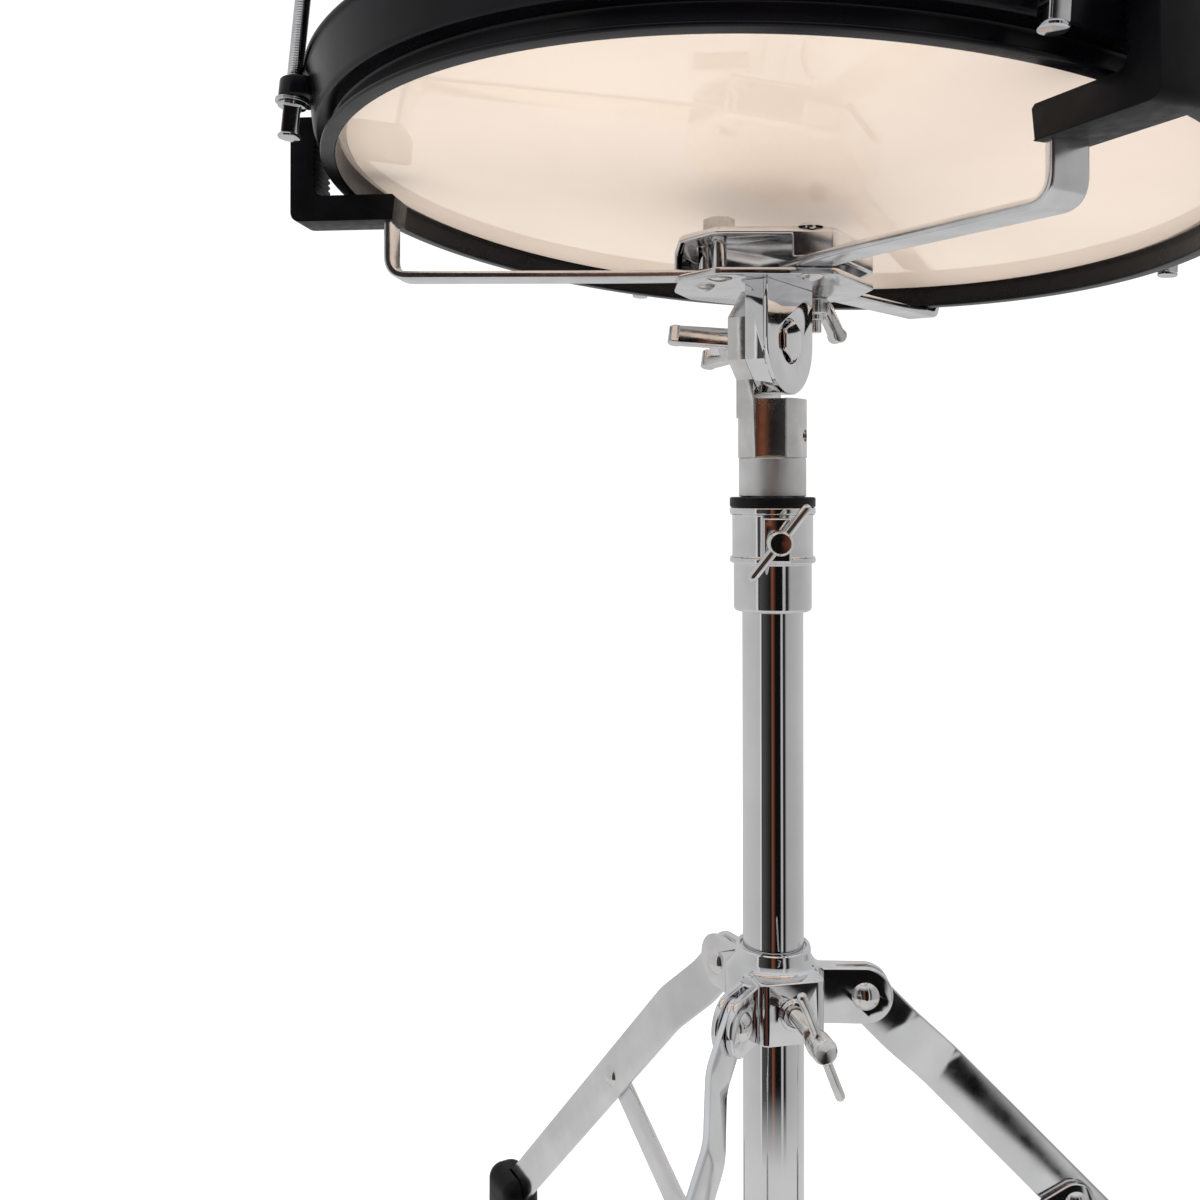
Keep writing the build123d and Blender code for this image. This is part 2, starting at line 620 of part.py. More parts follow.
def build_drum():
    frame = drum_point_plane()
    mid = Plane(origin=(0, 0, DRUM_H / 2), z_dir=(0, 0, 1))
    angles = rod_angles()
    for name, make in (("hoop", rim), ("head", head), ("flesh_hoop", flesh_hoop)):
        piece = make()
        save(f"resonant_{name}", frame * piece)
        save(f"batter_{name}", frame * mirror(piece, about=mid))
    for name, make in (("rods", tension_rod), ("washers", washer)):
        pieces = around(make(), angles)
        save(f"resonant_{name}", *[frame * p for p in pieces])
        save(f"batter_{name}", *[frame * mirror(p, about=mid) for p in pieces])

    low = HEAD_Z + FILM_T
    high = DRUM_H - low
    inner = SHELL_R - SHELL_WALL
    profile = [
        (SHELL_R, low + 3.2),
        (EDGE_R, low),
        (inner, low + 2.8),
        (inner, high - 2.8),
        (EDGE_R, high),
        (SHELL_R, high - 3.2),
    ]
    shell = lathe(profile)
    vent_azimuth = LUG_PHASE + 45
    vent_hole = Pos(0, 0, DRUM_H / 2) * Rot(0, 90, 0) * disc(6.0, 150, 200)
    shell -= spin(vent_hole, vent_azimuth)
    screws = []
    for angle in angles:
        for z in (DRUM_H / 2 - 10, DRUM_H / 2 + 10):
            shell -= spin(Pos(0, 0, z) * Rot(0, 90, 0) * disc(2.0, 150, 200), angle)
            screw = disc(2.0, inner - 0.5, 185) + disc(4.0, inner - 2.6, inner - 0.2)
            screws.append(frame * spin(Pos(0, 0, z) * Rot(0, 90, 0) * screw, angle))
    save("shell", frame * shell)
    save("lug_screws", *screws)
    save("lugs", *[frame * p for p in around(lug(), angles)])
    vent = ring(6.0, 4.5, inner - 1.0, SHELL_R + 0.3) + ring(8.5, 4.5, SHELL_R + 0.3, SHELL_R + 1.8)
    save("air_vent", frame * spin(Pos(0, 0, DRUM_H / 2) * Rot(0, 90, 0) * vent, vent_azimuth))


os.makedirs(OUT, exist_ok=True)
build_tubes()
build_height_collar()
save("height_t_bolt", t_bolt(*HEIGHT_BOLT, MAST_R + 0.3, 22.4, 17.0, -38))
save("boss_t_bolt", t_bolt(*BOSS_BOLT, TUBE_R + 0.3, 42.0, 20.5, 21.5))
build_leg_boss()
build_lower_collar()
build_legs()
build_tilter()
build_basket()
build_drum()
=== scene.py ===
import json
from math import cos, hypot, pi, radians, sin, sqrt, tau

import bmesh
import bpy
from mathutils import Matrix, Vector


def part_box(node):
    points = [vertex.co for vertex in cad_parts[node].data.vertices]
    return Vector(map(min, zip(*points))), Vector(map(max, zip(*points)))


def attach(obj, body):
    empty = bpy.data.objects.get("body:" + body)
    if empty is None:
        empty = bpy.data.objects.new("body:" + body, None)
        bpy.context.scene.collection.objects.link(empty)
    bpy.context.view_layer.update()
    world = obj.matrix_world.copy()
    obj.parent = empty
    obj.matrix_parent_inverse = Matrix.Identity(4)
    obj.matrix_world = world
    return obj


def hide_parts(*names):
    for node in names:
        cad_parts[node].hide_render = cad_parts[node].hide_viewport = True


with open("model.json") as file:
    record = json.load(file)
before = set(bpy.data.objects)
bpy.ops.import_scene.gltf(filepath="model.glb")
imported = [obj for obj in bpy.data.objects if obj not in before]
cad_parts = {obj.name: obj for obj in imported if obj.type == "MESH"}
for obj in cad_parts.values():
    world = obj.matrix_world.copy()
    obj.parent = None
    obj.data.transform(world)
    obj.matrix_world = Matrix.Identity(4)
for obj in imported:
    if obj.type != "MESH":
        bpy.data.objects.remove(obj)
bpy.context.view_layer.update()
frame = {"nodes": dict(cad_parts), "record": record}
NODES = frame["nodes"]
MM = 0.001

# Sizes from the CAD model, in millimetres.
DRUM_CENTRE = (-1.8, -2.7, 550.0)
DRUM_AXIS = Vector((0.0822, 0.0538, 0.9952)).normalized()
DRUM_H = 159.7
ROD_CIRCLE_R = 195.5
ROD_ANGLES = [14.0 + 90.0 * k for k in range(4)]
LUG_HALF = 20.0
EAR_BASE_R = 188.4
EAR_LENGTH = 3.8            # from its base to the middle of its round end
EAR_HALF = 9.0
EAR_SPAN_Z = (16.5, 24.0)
LEG_AZIMUTHS = {"right": -2.0, "back": 118.0, "front": -122.0}
LEG_PIVOT = (37.5, 226.8)
FOOT_END = (251.0, 15.0)
BRACE_PIVOT = (24.0, 76.0)
MID_RIVET = 125.0
STRIP_T = 2.5
STRIP_BEND = 4.0
LEG_WIDTH = 20.0
LEG_JOGGLE = (22.0, 46.0)
LEG_STEP = 7.7
BRACE_WIDTH = 16.0
BRACE_JOGGLE = (26.0, 52.0)
BRACE_STEP = 4.9
ARMS = {
    "left": {"azimuth": 173.9, "corner_r": 163.8, "corner_z": 526.4, "inner_r": 17.0, "body": "basket"},
    "front": {"azimuth": -66.1, "corner_r": 163.8, "corner_z": 521.0, "inner_r": 17.0, "body": "basket"},
    "back": {"azimuth": 56.4, "corner_r": 196.2, "corner_z": 529.5, "inner_r": 20.0, "body": "sliding_arm"},
}
ARM_BOTTOM = 524.8
ARM_W = 15.0
ARM_T = 3.5
ARM_BENDS = [0, 20, 8.5, 5.5, 5.5, 0]
GRIP_W = 20.0
GRIP_T = 11.0
GRIP_TAIL = 4.0
GRIP_REACH = 42.2
RIB_PITCH = 2.4
RIB_DEPTH = 0.8
T_BOLTS = {
    "height_t_bolt": {"azimuth": -93.0, "z": 415.3, "tip": 9.825, "hub": 22.4, "half": 17.0, "turn": -38.0,
                      "body": "height_bolt"},
    "boss_t_bolt": {"azimuth": -78.0, "z": 227.0, "tip": 13.0, "hub": 42.0, "half": 20.5, "turn": 21.5,
                    "body": "boss_bolt"},
}
T_BAR_R = 1.95
T_BAR_HEIGHT = 9.75         # from the hub's seat to the bar's middle

# The studio and the view, in metres and degrees.
CAMERA_PLACE = (-0.0719, -0.5063, 0.440)
CAMERA_PITCH = 90.644
CAMERA_LENS = 36.18
CAMERA_SHIFT = (-0.001, -0.111)
FLOOR_HALF = 30
SOFTBOXES = {
    "softbox_top": {"place": (0.0, -0.3, 2.4), "size": (1.8, 1.8), "power": 30},
    "softbox_left": {"place": (-1.9, -0.9, 0.9), "size": (0.9, 1.4), "power": 16},
    "softbox_right": {"place": (2.0, -0.5, 0.8), "size": (0.9, 1.4), "power": 12},
}
SOFTBOX_AIM = (0, 0, 0.4)
ROOM_WHITE = 1.08
# What the metal mirrors round the horizon: degrees from the camera's side, and a grey or a colour.
WARM_LIGHT = (0.24, 0.09, 0.045)
WARM_SHADE = (0.1, 0.03, 0.02)
STUDIO = [(-180, 0.62), (-125, 0.62), (-80, 0.58), (-58, 0.55), (-54, 0.95), (-50, 0.01), (-46, 0.08),
          (-24, 0.03), (-15, 0.01), (-10, WARM_LIGHT), (-4, WARM_SHADE), (1, 0.006), (20, 0.006), (23, 0.6),
          (28, 0.5), (31, 0.008), (37, 0.02), (44, 0.45), (80, 0.5), (125, 0.6), (180, 0.62)]
STUDIO_CEILING = (0.7, 0.71, 0.73)
STUDIO_FLOOR = (0.68, 0.68, 0.68)
CEILING_EDGE = (0.45, 0.75)  # heights of the view's direction between which the ceiling comes in
FLOOR_EDGE = (-0.49, -0.45)


# ---------------------------------------------------------------- places


def turned_to(azimuth):
    return Matrix.Rotation(radians(azimuth), 4, "Z")


def axes(origin, x, y, z):
    m = Matrix((x, y, z)).transposed().to_4x4()
    m.translation = Vector(origin)
    return m


def drum_place():
    x = Vector((DRUM_AXIS.z, 0, -DRUM_AXIS.x)).normalized()
    return axes(DRUM_CENTRE, x, DRUM_AXIS.cross(x), DRUM_AXIS)


def radial_place(azimuth, z):
    """Local x up and local z outward, on the stand's axis at height z."""
    out = Vector((cos(radians(azimuth)), sin(radians(azimuth)), 0))
    up = Vector((0, 0, 1))
    return axes((0, 0, z), up, out.cross(up), out)


def slope_place(start, end):
    run = Vector((end[0] - start[0], 0, end[1] - start[1])).normalized()
    side = Vector((0, 1, 0))
    return axes((start[0], 0, start[1]), run, side, run.cross(side))


# ---------------------------------------------------------------- mesh building


def soften(points, radius, steps=5, loop=True):
    """Rounds the corners of a polygon or path."""
    points = [Vector(p) for p in points]
    count = len(points)
    out = []
    for i, p in enumerate(points):
        if not loop and i in (0, count - 1):
            out.append(p)
            continue
        r = radius[i] if isinstance(radius, (list, tuple)) else radius
        if r <= 0:
            out.append(p)
            continue
        before = points[i - 1] - p
        after = points[(i + 1) % count] - p
        a = p + before.normalized() * min(r, before.length * 0.48)
        b = p + after.normalized() * min(r, after.length * 0.48)
        for k in range(steps + 1):
            t = k / steps
            out.append(a * (1 - t) ** 2 + p * 2 * t * (1 - t) + b * t * t)
    return out


class Build:
    """Collects verts and faces in millimetres and makes one piece from them."""

    def __init__(self):
        self.verts = []
        self.faces = []

    def rings(self, rings, loop=False, caps=True):
        base = len(self.verts)
        n = len(rings[0])
        for r in rings:
            self.verts.extend(r)
        spans = len(rings) if loop else len(rings) - 1
        for i in range(spans):
            a = base + i * n
            b = base + ((i + 1) % len(rings)) * n
            for k in range(n):
                m = (k + 1) % n
                self.faces.append((a + k, a + m, b + m, b + k))
        if caps and not loop:
            last = base + (len(rings) - 1) * n
            self.faces.append(tuple(base + k for k in reversed(range(n))))
            self.faces.append(tuple(last + k for k in range(n)))

    def turn(self, profile, place, segments=96, loop=False):
        """A solid of revolution about local z from (r, z) points, bottom to top, or a closed ring."""
        rings = []
        for r, z in profile:
            turns = [tau * k / segments for k in range(segments)]
            rings.append([place @ Vector((r * cos(a), r * sin(a), z)) for a in turns])
        self.rings(rings, loop=loop, caps=not loop)

    def thread(self, radius, depth, pitch, z0, z1, place, segments=28, per_turn=6):
        """A screw thread: a rod whose radius follows a helix."""
        count = max(2, int((z1 - z0) / pitch * per_turn))
        rings = []
        for i in range(count + 1):
            z = z0 + (z1 - z0) * i / count
            ring = []
            for k in range(segments):
                phase = (z / pitch - k / segments) % 1.0
                r = radius - depth * abs(2 * phase - 1) ** 1.3
                ring.append(place @ Vector((r * cos(tau * k / segments), r * sin(tau * k / segments), z)))
            rings.append(ring)
        self.rings(rings)

    def sweep(self, path, side, section, place, width=None):
        """A section of (along side, across) points carried along a path that lies square to side."""
        side = Vector(side)
        rings = []
        for i, p in enumerate(path):
            ahead = path[min(i + 1, len(path) - 1)] - path[max(i - 1, 0)]
            across = side.cross(ahead.normalized())
            w = width(i) if width else 1.0
            rings.append([place @ (p + side * (a * w) + across * b) for a, b in section])
        self.rings(rings)

    def prism(self, outline, low, high, place, axis="Y"):
        """A flat outline pushed through along an axis; outline points are the other two coordinates."""
        def at(a, b, c):
            return Vector((a, c, b)) if axis == "Y" else Vector((a, b, c))
        rings = [[place @ at(a, b, c) for a, b in outline] for c in (low, high)]
        self.rings(rings)

    def done(self, name, body, slot, *nodes, angle=40, bevel=0.0, segments=3, bevel_angle=50):
        mesh = bpy.data.meshes.new(name)
        mesh.from_pydata([v * MM for v in self.verts], [], self.faces)
        mesh.update()
        bm = bmesh.new()
        bm.from_mesh(mesh)
        bmesh.ops.recalc_face_normals(bm, faces=bm.faces)
        bm.to_mesh(mesh)
        bm.free()
        return place_piece(name, mesh, body, slot, nodes, angle, bevel, segments, bevel_angle)


def place_piece(name, mesh, body, slot, nodes, angle=40, bevel=0.0, segments=3, bevel_angle=50):
    piece = bpy.data.objects.new(name, mesh)
    bpy.context.scene.collection.objects.link(piece)
    if bevel:
        round_edges(piece, bevel, segments, bevel_angle)
    piece.data.shade_smooth()
    piece.data.set_sharp_from_angle(angle=radians(angle))
    piece.data.materials.clear()
    piece.data.materials.append(MATERIALS[slot])
    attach(piece, body)
    if nodes:
        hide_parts(*nodes)
    return piece


def mesh_box(mesh):
    points = [v.co for v in mesh.vertices]
    return [min(p[k] for p in points) for k in range(3)] + [-max(p[k] for p in points) for k in range(3)]


def round_edges(piece, width, segments, angle):
    """Bevels the hard edges, more gently where a full bevel would throw points outside the piece."""
    rest = mesh_box(piece.data)
    for clamp, share in ((False, 1.0), (False, 0.6), (False, 0.3), (True, 1.0)):
        m = piece.modifiers.new("edges", "BEVEL")
        m.width = width * share * MM
        m.segments = segments
        m.limit_method = "ANGLE"
        m.angle_limit = radians(angle)
        m.use_clamp_overlap = clamp
        w = piece.modifiers.new("normals", "WEIGHTED_NORMAL")
        w.keep_sharp = True
        graph = bpy.context.evaluated_depsgraph_get()
        mesh = bpy.data.meshes.new_from_object(piece.evaluated_get(graph))
        piece.modifiers.clear()
        grown = max(a - b for a, b in zip(rest, mesh_box(mesh)))
        if grown < 0.02 * MM:
            break
    mesh.name = piece.name
    piece.data = mesh


def refined(node, width, slot, body):
    """A copy of a CAD node with its hard edges rounded, which stands for the node."""
    bm = bmesh.new()
    bm.from_mesh(NODES[node].data)
    bmesh.ops.remove_doubles(bm, verts=bm.verts, dist=2e-6)
    bmesh.ops.dissolve_limit(bm, angle_limit=radians(0.8), verts=bm.verts, edges=bm.edges)
    mesh = bpy.data.meshes.new(node + "_finished")
    bm.to_mesh(mesh)
    bm.free()
    return place_piece(node + "_finished", mesh, body, slot, [node], bevel=width,
                       bevel_angle=40)


# ---------------------------------------------------------------- materials


def node_of(tree, kind, **inputs):
    n = tree.nodes.new(kind)
    for name, value in inputs.items():
        n.inputs[name.replace("_", " ")].default_value = value
    return n


def noise(tree, scale, detail=3.0, stretch=(1, 1, 1), roughness=0.5):
    coords = tree.nodes.new("ShaderNodeTexCoord")
    mapping = tree.nodes.new("ShaderNodeMapping")
    mapping.inputs["Scale"].default_value = stretch
    texture = node_of(tree, "ShaderNodeTexNoise", Scale=scale, Detail=detail, Roughness=roughness)
    tree.links.new(coords.outputs["Object"], mapping.inputs["Vector"])
    tree.links.new(mapping.outputs["Vector"], texture.inputs["Vector"])
    return texture.outputs["Fac"]


def between(tree, fac, low, high, start=0.3, end=0.7):
    m = node_of(tree, "ShaderNodeMapRange")
    for k, value in (("From Min", start), ("From Max", end), ("To Min", low), ("To Max", high)):
        m.inputs[k].default_value = value
    tree.links.new(fac, m.inputs["Value"])
    return m.outputs["Result"]


def tint(tree, fac, a, b, start=0.35, end=0.65):
    ramp = tree.nodes.new("ShaderNodeValToRGB")
    ramp.color_ramp.elements[0].position = start
    ramp.color_ramp.elements[1].position = end
    ramp.color_ramp.elements[0].color = (*a, 1)
    ramp.color_ramp.elements[1].color = (*b, 1)
    tree.links.new(fac, ramp.inputs["Fac"])
    return ramp.outputs["Color"]


def finish(name, dark, light, rough, metallic=0.0, colour_scale=60, grain=900, bump=0.05, bump_mm=0.02,
           stretch=(1, 1, 1), coat=0.0, coat_roughness=0.05, specular=0.5, painted_glow=0.0):
    """A shader with mottled colour, uneven gloss and a fine surface relief, plus an optional even peach
    emission that paints in light.
    """
    material = bpy.data.materials.new(name)
    material.use_nodes = True
    tree = material.node_tree
    shader = tree.nodes["Principled BSDF"]
    shader.inputs["Metallic"].default_value = metallic
    shader.inputs["Specular IOR Level"].default_value = specular
    shader.inputs["Coat Weight"].default_value = coat
    shader.inputs["Coat Roughness"].default_value = coat_roughness
    # Painted light: a nonzero emission strength makes the surface glow evenly in peach, though it is no lamp.
    shader.inputs["Emission Color"].default_value = (0.8, 0.67, 0.56, 1)
    shader.inputs["Emission Strength"].default_value = painted_glow
    broad = noise(tree, colour_scale, 4)
    tree.links.new(tint(tree, broad, dark, light), shader.inputs["Base Color"])
    patchy = noise(tree, colour_scale * 2.3, 5, roughness=0.6)
    low, high = rough
    tree.links.new(between(tree, patchy, low, high), shader.inputs["Roughness"])
    fine = noise(tree, grain, 3, stretch)
    relief = node_of(tree, "ShaderNodeBump", Strength=bump, Distance=bump_mm * MM)
    tree.links.new(fine, relief.inputs["Height"])
    tree.links.new(relief.outputs["Normal"], shader.inputs["Normal"])
    return material


FINISHES = {
    "tube_chrome": {"dark": (0.72, 0.72, 0.73), "light": (0.8, 0.8, 0.81), "rough": (0.02, 0.06),
        "metallic": 1.0, "colour_scale": 25, "grain": 500, "bump": 0.04, "bump_mm": 0.02,
        "stretch": (1, 1, 0.2)},
    "collar_chrome": {"dark": (0.7, 0.7, 0.71), "light": (0.79, 0.79, 0.8), "rough": (0.03, 0.09),
        "metallic": 1.0, "colour_scale": 60, "grain": 260, "bump": 0.12, "bump_mm": 0.05},
    "cast_metal": {"dark": (0.62, 0.61, 0.6), "light": (0.75, 0.74, 0.73), "rough": (0.08, 0.2),
        "metallic": 1.0, "colour_scale": 90, "grain": 380, "bump": 0.3, "bump_mm": 0.06},
    "satin_steel": {"dark": (0.62, 0.62, 0.63), "light": (0.76, 0.76, 0.77), "rough": (0.12, 0.24),
        "metallic": 1.0, "colour_scale": 45, "grain": 700, "bump": 0.15, "bump_mm": 0.03},
    "leg_strip": {"dark": (0.7, 0.7, 0.71), "light": (0.8, 0.8, 0.81), "rough": (0.06, 0.14),
        "metallic": 1.0, "colour_scale": 35, "grain": 420, "bump": 0.1, "bump_mm": 0.04},
    "fasteners": {"dark": (0.66, 0.65, 0.64), "light": (0.8, 0.79, 0.78), "rough": (0.05, 0.14),
        "metallic": 1.0, "colour_scale": 150, "grain": 600, "bump": 0.15, "bump_mm": 0.04},
    "sleeve": {"dark": (0.66, 0.66, 0.66), "light": (0.8, 0.8, 0.8), "rough": (0.42, 0.55),
        "metallic": 1.0, "colour_scale": 50, "grain": 900, "bump": 0.1, "bump_mm": 0.02},
    "nylon": {"dark": (0.0015, 0.0015, 0.002), "light": (0.004, 0.004, 0.005), "rough": (0.3, 0.5),
        "metallic": 0.0, "colour_scale": 120, "grain": 1200, "bump": 0.2, "bump_mm": 0.04,
        "specular": 0.16},
    "rubber": {"dark": (0.001, 0.001, 0.0014), "light": (0.0025, 0.0025, 0.0034), "rough": (0.34, 0.5),
        "metallic": 0.0, "colour_scale": 90, "grain": 1500, "bump": 0.3, "bump_mm": 0.05,
        "specular": 0.14},
    "shell_wrap": {"dark": (0.001, 0.001, 0.0016), "light": (0.0022, 0.0022, 0.0032),
        "rough": (0.08, 0.16), "metallic": 0.0, "colour_scale": 18, "grain": 90, "bump": 0.05,
        "bump_mm": 0.05, "specular": 0.24},
    "hoop_paint": {"dark": (0.001, 0.001, 0.0016), "light": (0.0024, 0.0024, 0.0036), "rough": (0.2, 0.3),
        "metallic": 0.0, "colour_scale": 30, "grain": 320, "bump": 0.08, "bump_mm": 0.03,
        "specular": 0.2},
    "rod_chrome": {"dark": (0.6, 0.6, 0.61), "light": (0.72, 0.72, 0.73), "rough": (0.04, 0.1),
        "metallic": 1.0, "colour_scale": 150, "grain": 500, "bump": 0.1, "bump_mm": 0.03},
    "flesh_ring": {"dark": (0.6, 0.6, 0.61), "light": (0.72, 0.72, 0.73), "rough": (0.25, 0.4),
        "metallic": 1.0, "colour_scale": 60, "grain": 700, "bump": 0.1, "bump_mm": 0.03},
    # The clear film's emission is a painted glow that stands in for light coming through the film and lifts
    # the shade under the head.
    "clear_film": {"dark": (0.5, 0.415, 0.345), "light": (0.54, 0.45, 0.375), "rough": (0.3, 0.4),
        "metallic": 0.0, "colour_scale": 9, "grain": 1400, "bump": 0.03, "bump_mm": 0.02, "coat": 0.9,
        "coat_roughness": 0.015, "specular": 0.0, "painted_glow": 0.3},
    "coated_film": {"dark": (0.8, 0.78, 0.75), "light": (0.87, 0.86, 0.83), "rough": (0.55, 0.75),
        "metallic": 0.0, "colour_scale": 25, "grain": 2600, "bump": 0.5, "bump_mm": 0.06},
}
MATERIALS = {name: finish(name, **look) for name, look in FINISHES.items()}
NODE_SLOTS = {s["node"]: s["material_slot"] for s in frame["record"]["subparts"]}
for node_name, slot_name in NODE_SLOTS.items():
    data = NODES[node_name].data
    data.materials.clear()
    data.materials.append(MATERIALS[slot_name])


# ---------------------------------------------------------------- drum


DRUM = drum_place()
FLIP = DRUM @ Matrix.Translation((0, 0, DRUM_H)) @ Matrix.Diagonal((1, 1, -1, 1))


def build_hoop(name, place):
    """A triple-flanged pressed hoop with an ear at each rod."""
    profile = [(178.0, 0.0), (183.9, 0.0), (183.9, 1.8), (179.8, 1.8), (179.8, 9.0), (187.2, 9.0),
               (191.5, 27.7), (193.0, 27.7), (193.0, 29.5), (189.7, 29.5), (185.4, 10.8), (178.0, 10.8)]
    radius = [0.8, 0.9, 0.9, 1.3, 1.3, 1.8, 0.6, 0.8, 0.8, 1.4, 1.4, 0.9]
    b = Build()
    b.turn(soften(profile, radius, 4), place, 240, loop=True)
    for angle in ROD_ANGLES:
        tip = [(EAR_LENGTH + 8.8 * sin(pi * k / 14), -8.9 * cos(pi * k / 14)) for k in range(1, 14)]
        outline = [(0, -EAR_HALF), (EAR_LENGTH, -EAR_HALF), *tip, (EAR_LENGTH, EAR_HALF), (0, EAR_HALF)]
        outline = [(x + EAR_BASE_R, y) for x, y in outline]
        b.prism(outline, *EAR_SPAN_Z, place @ turned_to(angle), axis="Z")
    return b.done(name + "_finished", "drum", "hoop_paint", name, bevel=0.8, bevel_angle=60)


def build_rods(name, place, washer_name):
    """Square-headed key rods with a flared foot and a rolled thread."""
    mid = DRUM_H / 2
    rods = Build()
    washers = Build()
    for angle in ROD_ANGLES:
        at = place @ turned_to(angle) @ Matrix.Translation((ROD_CIRCLE_R, 0, 0))
        rods.turn([(3.6, 1.6), (4.1, 1.7), (4.3, 2.1), (4.3, 2.6), (3.9, 3.1), (3.0, 3.4)], at, 32)
        square = soften([(-3.2, -3.2), (3.2, -3.2), (3.2, 3.2), (-3.2, 3.2)], 0.7, 3)
        stations = ((2.9, 0.9), (3.4, 1.0), (12.6, 1.0), (13.4, 1.12), (13.9, 1.2))
        rods.rings([[at @ Vector((p.x * s, p.y * s, z)) for p in square] for z, s in stations])
        rods.turn([(4.6, 13.4), (5.3, 13.7), (5.4, 14.2), (5.3, 14.8), (4.8, 15.0)], at, 32)
        rods.thread(3.05, 0.42, 1.0, 14.6, mid - LUG_HALF + 2, at)
        rods.turn([(2.7, mid - LUG_HALF + 1), (2.7, mid - LUG_HALF + 15.5)], at, 20)
        for low in (15.05, 15.8):
            ring = soften([(3.3, low), (6.5, low), (6.5, low + 0.68), (3.3, low + 0.68)], 0.25, 3)
            washers.turn(ring, at, 40, loop=True)
    rods.done(name + "_finished", "drum", "rod_chrome", name)
    washers.done(washer_name + "_finished", "drum", "rod_chrome", washer_name)


build_hoop("resonant_hoop", DRUM)
build_hoop("batter_hoop", FLIP)
build_rods("resonant_rods", DRUM, "resonant_washers")
build_rods("batter_rods", FLIP, "batter_washers")
refined("lugs", 0.8, "hoop_paint", "drum")


# ---------------------------------------------------------------- basket


def build_arm(name, arm):
    low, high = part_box("grip_" + name)
    seat = low.z / MM + GRIP_T
    top = high.z / MM
    half = ARM_T / 2
    corner = arm["corner_r"]
    outer = corner + GRIP_REACH - GRIP_T / 2
    level = ARM_BOTTOM + half
    leg_z = seat - GRIP_T / 2
    points = [(arm["inner_r"], 0, level), (58, 0, level), (corner, 0, arm["corner_z"] + half),
              (corner, 0, leg_z), (outer, 0, leg_z), (outer, 0, top - 9)]
    path = soften(points, ARM_BENDS, 9, loop=False)
    w, t = ARM_W / 2, ARM_T / 2
    section = soften([(-w, -t), (w, -t), (w, t), (-w, t)], 1.2, 4)
    b = Build()
    b.sweep(path, (0, 1, 0), section, turned_to(arm["azimuth"]))
    b.done(f"arm_{name}_finished", arm["body"], "satin_steel", f"arm_{name}")

    inner = corner - GRIP_TAIL
    far = corner + GRIP_REACH
    wall = far - GRIP_T
    outside = [(inner, seat - GRIP_T), (far, seat - GRIP_T), (far, top), (wall, top), (wall, seat + 2)]
    outline = soften(outside, [1.2, 4.5, 2.2, 1.6, 0], 6)[:-1]
    z = top - 5
    while z > seat + 5:
        for depth, drop in ((0, 0), (RIB_DEPTH, 0.5), (RIB_DEPTH, 1.0), (0, 1.5)):
            outline.append(Vector((wall + depth, z - drop)))
        z -= RIB_PITCH
    seat_edge = [(wall, seat + 3.0), (wall - 0.9, seat + 0.9), (wall - 3.0, seat)]
    seat_edge += [(inner + 1.2, seat), (inner, seat - 1.2)]
    outline += [Vector(p) for p in seat_edge]
    g = Build()
    g.prism(outline, -GRIP_W / 2, GRIP_W / 2, turned_to(arm["azimuth"]))
    g.done(f"grip_{name}_finished", arm["body"], "rubber", f"grip_{name}", bevel=0.9, bevel_angle=65)


for arm_name, arm_sizes in ARMS.items():
    build_arm(arm_name, arm_sizes)
refined("hub_lower_plate", 0.7, "satin_steel", "basket")
refined("hub_upper_plate", 0.8, "satin_steel", "basket")
refined("hub_bolt", 0.4, "fasteners", "basket")
refined("arm_wing_nut", 1.0, "cast_metal", "arm_nut")


# ---------------------------------------------------------------- tilter and collars


refined("tilter_block", 1.2, "cast_metal", "mast")
refined("tilter_tongue", 0.5, "collar_chrome", "basket")
refined("tilter_bolt", 0.7, "collar_chrome", "mast")
refined("tilter_wing_nut", 1.3, "cast_metal", "wing_nut")
refined("stop_sleeve", 0.6, "sleeve", "mast")
refined("collar_ring", 0.7, "nylon", "main_tube")
refined("height_collar", 0.8, "collar_chrome", "main_tube")
refined("leg_boss", 0.9, "collar_chrome", "boss")
refined("lower_collar", 0.9, "collar_chrome", "main_tube")


def build_t_bolt(name, size):
    place = radial_place(size["azimuth"], size["z"])
    hub = size["hub"]
    b = Build()
    b.thread(3.0, 0.5, 1.05, size["tip"], hub + 1, place)
    profile = [(3.0, -0.2), (3.6, 0.4), (4.3, 3), (4.9, 6.2), (5.0, 7), (5.0, 13.6), (4.6, 14.6), (4.2, 15.0),
               (4.0, 14.7), (0.4, 14.4)]
    b.turn([(r, hub + z) for r, z in profile], place, 48)
    half, r = size["half"], T_BAR_R
    quarter = [pi / 2 * k / 6 for k in range(7)]
    bar = [(r * sin(a), -half - r * cos(a)) for a in quarter[1:]]
    bar += [(r, half * share) for share in (-0.75, 0, 0.75)]
    bar += [(r * cos(a), half + r * sin(a)) for a in quarter[:-1]]
    lying = place @ Matrix.Translation((0, 0, hub + T_BAR_HEIGHT)) @ turned_to(size["turn"])
    b.turn(bar, lying @ Matrix.Rotation(pi / 2, 4, "Y"), 24)
    b.done(name + "_finished", size["body"], "fasteners", name, angle=50)


for bolt_name, bolt_sizes in T_BOLTS.items():
    build_t_bolt(bolt_name, bolt_sizes)


# ---------------------------------------------------------------- legs


